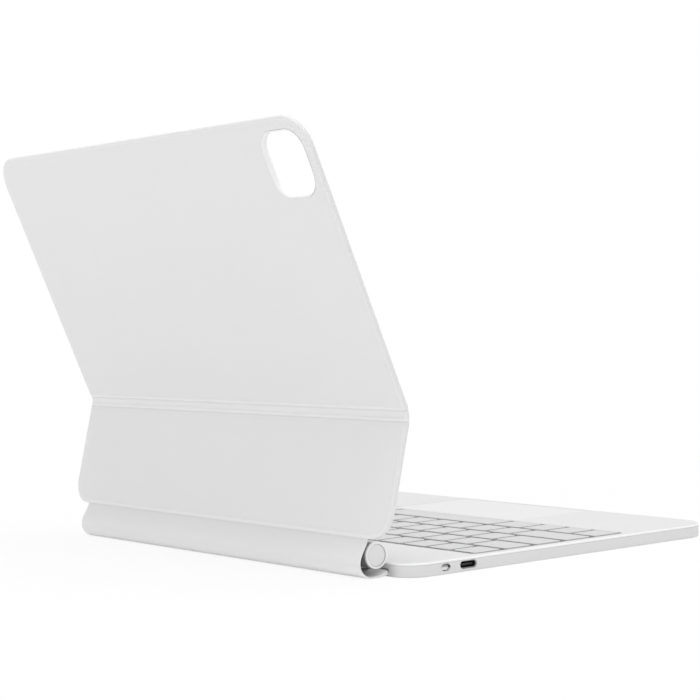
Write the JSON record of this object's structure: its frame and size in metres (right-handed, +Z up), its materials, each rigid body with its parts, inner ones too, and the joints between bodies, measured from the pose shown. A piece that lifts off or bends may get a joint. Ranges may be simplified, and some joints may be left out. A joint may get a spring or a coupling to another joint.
{
  "type": "tablet keyboard case",
  "caption": "Folding keyboard case for a tablet: slim base with keys and trackpad, round rear hinge, standing leg and leaning cover with a camera window.",
  "frame": {"origin": "centre of the base's underside, on the surface it stands on", "axes": "+X to the user's right, -Y towards the user, +Z up"},
  "size_m": [0.2476, 0.2302, 0.1856],
  "materials": {
    "skin": "matt polyurethane skin, white",
    "shell": "fine matt moulded white plastic",
    "keycap": "fine matt white plastic",
    "trackpad": "smooth satin white",
    "lining": "soft napped pale grey lining",
    "board": "plain stiffener board",
    "barrel": "white paint on extruded aluminium",
    "cap": "matt white plastic with a raised rim",
    "steel": "plain steel",
    "sheet": "pressed sheet",
    "film": "printed polyester film",
    "rubber": "silicone",
    "link": "acetal",
    "black": "black plastic",
    "circuit": "green circuit board",
    "cell": "foil pouch cell"
  },
  "bodies": {
    "base": {"base_bottom_cover": "skin", "base_frame": "shell", "deck_plate": "shell", "key_support_plate": "sheet", "membrane_sheet": "film", "dome_sheet": "rubber", "scissor_links": "link", "trackpad_spring": "steel", "trackpad_switch": "black", "usb_c_shell": "steel", "usb_c_tongue": "black", "power_switch": "black", "main_board": "circuit", "flex_cable": "film", "battery_cells": "cell", "hinge_barrel": "barrel", "hinge_screws": "steel", "barrel_end_caps": "cap", "hinge_pins": "steel", "friction_sleeves": "steel", "spine_cover": "skin"},
    "leg": {"hinge_arms": "steel", "leg_liner": "lining", "leg_outer_skin": "skin", "leg_board": "board", "leg_fold_leaves": "steel", "fold_pins": "steel", "fold_strip": "skin"},
    "cover": {"cover_liner": "lining", "cover_outer_skin": "skin", "cover_board": "board", "cover_magnets": "steel", "camera_window_trim": "shell", "cover_fold_leaves": "steel"},
    "number_keys": {"number_keys": "keycap"},
    "upper_letter_keys": {"upper_letter_keys": "keycap"},
    "home_letter_keys": {"home_letter_keys": "keycap"},
    "lower_letter_keys": {"lower_letter_keys": "keycap"},
    "delete_key": {"delete_key": "keycap"},
    "tab_key": {"tab_key": "keycap"},
    "backslash_key": {"backslash_key": "keycap"},
    "caps_key": {"caps_key": "keycap"},
    "return_key": {"return_key": "keycap"},
    "left_shift_key": {"left_shift_key": "keycap"},
    "right_shift_key": {"right_shift_key": "keycap"},
    "globe_key": {"globe_key": "keycap"},
    "control_key": {"control_key": "keycap"},
    "left_option_key": {"left_option_key": "keycap"},
    "left_command_key": {"left_command_key": "keycap"},
    "space_bar": {"space_bar": "keycap"},
    "right_command_key": {"right_command_key": "keycap"},
    "right_option_key": {"right_option_key": "keycap"},
    "left_arrow_key": {"left_arrow_key": "keycap"},
    "up_arrow_key": {"up_arrow_key": "keycap"},
    "down_arrow_key": {"down_arrow_key": "keycap"},
    "right_arrow_key": {"right_arrow_key": "keycap"},
    "trackpad": {"trackpad_plate": "trackpad"},
    "power_button": {"power_button": "shell"}
  },
  "joints": [
    {"name": "leg_hinge", "type": "hinge", "parent": "base", "child": "leg", "pos_m": [0, 0.0969, 0.0093], "axis": [1, 0, 0], "range_deg": [0, 76], "deforming": ["spine_cover"]},
    {"name": "fold_hinge", "type": "hinge", "parent": "leg", "child": "cover", "pos_m": [0, 0.08822, 0.06589], "axis": [1, 0, 0], "range_deg": [-17, 36.54], "deforming": ["fold_strip"]},
    {"name": "number_keys_press", "type": "slide", "parent": "base", "child": "number_keys", "axis": [0, 0, -1], "range_m": [0, 0.001], "stiffness_N_per_m": 7800, "deforming": ["dome_sheet", "scissor_links"]},
    {"name": "upper_letter_keys_press", "type": "slide", "parent": "base", "child": "upper_letter_keys", "axis": [0, 0, -1], "range_m": [0, 0.001], "stiffness_N_per_m": 7200, "deforming": ["dome_sheet", "scissor_links"]},
    {"name": "home_letter_keys_press", "type": "slide", "parent": "base", "child": "home_letter_keys", "axis": [0, 0, -1], "range_m": [0, 0.001], "stiffness_N_per_m": 6600, "deforming": ["dome_sheet", "scissor_links"]},
    {"name": "lower_letter_keys_press", "type": "slide", "parent": "base", "child": "lower_letter_keys", "axis": [0, 0, -1], "range_m": [0, 0.001], "stiffness_N_per_m": 6000, "deforming": ["dome_sheet", "scissor_links"]},
    {"name": "delete_key_press", "type": "slide", "parent": "base", "child": "delete_key", "axis": [0, 0, -1], "range_m": [0, 0.001], "stiffness_N_per_m": 600, "deforming": ["dome_sheet", "scissor_links"]},
    {"name": "tab_key_press", "type": "slide", "parent": "base", "child": "tab_key", "axis": [0, 0, -1], "range_m": [0, 0.001], "stiffness_N_per_m": 600, "deforming": ["dome_sheet", "scissor_links"]},
    {"name": "backslash_key_press", "type": "slide", "parent": "base", "child": "backslash_key", "axis": [0, 0, -1], "range_m": [0, 0.001], "stiffness_N_per_m": 600, "deforming": ["dome_sheet", "scissor_links"]},
    {"name": "caps_key_press", "type": "slide", "parent": "base", "child": "caps_key", "axis": [0, 0, -1], "range_m": [0, 0.001], "stiffness_N_per_m": 600, "deforming": ["dome_sheet", "scissor_links"]},
    {"name": "return_key_press", "type": "slide", "parent": "base", "child": "return_key", "axis": [0, 0, -1], "range_m": [0, 0.001], "stiffness_N_per_m": 600, "deforming": ["dome_sheet", "scissor_links"]},
    {"name": "left_shift_key_press", "type": "slide", "parent": "base", "child": "left_shift_key", "axis": [0, 0, -1], "range_m": [0, 0.001], "stiffness_N_per_m": 600, "deforming": ["dome_sheet", "scissor_links"]},
    {"name": "right_shift_key_press", "type": "slide", "parent": "base", "child": "right_shift_key", "axis": [0, 0, -1], "range_m": [0, 0.001], "stiffness_N_per_m": 600, "deforming": ["dome_sheet", "scissor_links"]},
    {"name": "globe_key_press", "type": "slide", "parent": "base", "child": "globe_key", "axis": [0, 0, -1], "range_m": [0, 0.001], "stiffness_N_per_m": 600, "deforming": ["dome_sheet", "scissor_links"]},
    {"name": "control_key_press", "type": "slide", "parent": "base", "child": "control_key", "axis": [0, 0, -1], "range_m": [0, 0.001], "stiffness_N_per_m": 600, "deforming": ["dome_sheet", "scissor_links"]},
    {"name": "left_option_key_press", "type": "slide", "parent": "base", "child": "left_option_key", "axis": [0, 0, -1], "range_m": [0, 0.001], "stiffness_N_per_m": 600, "deforming": ["dome_sheet", "scissor_links"]},
    {"name": "left_command_key_press", "type": "slide", "parent": "base", "child": "left_command_key", "axis": [0, 0, -1], "range_m": [0, 0.001], "stiffness_N_per_m": 600, "deforming": ["dome_sheet", "scissor_links"]},
    {"name": "space_bar_press", "type": "slide", "parent": "base", "child": "space_bar", "axis": [0, 0, -1], "range_m": [0, 0.001], "stiffness_N_per_m": 600, "deforming": ["dome_sheet", "scissor_links"]},
    {"name": "right_command_key_press", "type": "slide", "parent": "base", "child": "right_command_key", "axis": [0, 0, -1], "range_m": [0, 0.001], "stiffness_N_per_m": 600, "deforming": ["dome_sheet", "scissor_links"]},
    {"name": "right_option_key_press", "type": "slide", "parent": "base", "child": "right_option_key", "axis": [0, 0, -1], "range_m": [0, 0.001], "stiffness_N_per_m": 600, "deforming": ["dome_sheet", "scissor_links"]},
    {"name": "left_arrow_key_press", "type": "slide", "parent": "base", "child": "left_arrow_key", "axis": [0, 0, -1], "range_m": [0, 0.001], "stiffness_N_per_m": 600, "deforming": ["dome_sheet", "scissor_links"]},
    {"name": "up_arrow_key_press", "type": "slide", "parent": "base", "child": "up_arrow_key", "axis": [0, 0, -1], "range_m": [0, 0.001], "stiffness_N_per_m": 600, "deforming": ["dome_sheet", "scissor_links"]},
    {"name": "down_arrow_key_press", "type": "slide", "parent": "base", "child": "down_arrow_key", "axis": [0, 0, -1], "range_m": [0, 0.001], "stiffness_N_per_m": 600, "deforming": ["dome_sheet", "scissor_links"]},
    {"name": "right_arrow_key_press", "type": "slide", "parent": "base", "child": "right_arrow_key", "axis": [0, 0, -1], "range_m": [0, 0.001], "stiffness_N_per_m": 600, "deforming": ["dome_sheet", "scissor_links"]},
    {"name": "trackpad_click", "type": "slide", "parent": "base", "child": "trackpad", "axis": [0, 0, -1], "range_m": [0, 0.0004], "stiffness_N_per_m": 2000},
    {"name": "power_button_press", "type": "slide", "parent": "base", "child": "power_button", "axis": [1, 0, 0], "range_m": [0, 0.0004], "stiffness_N_per_m": 3000}
  ]
}
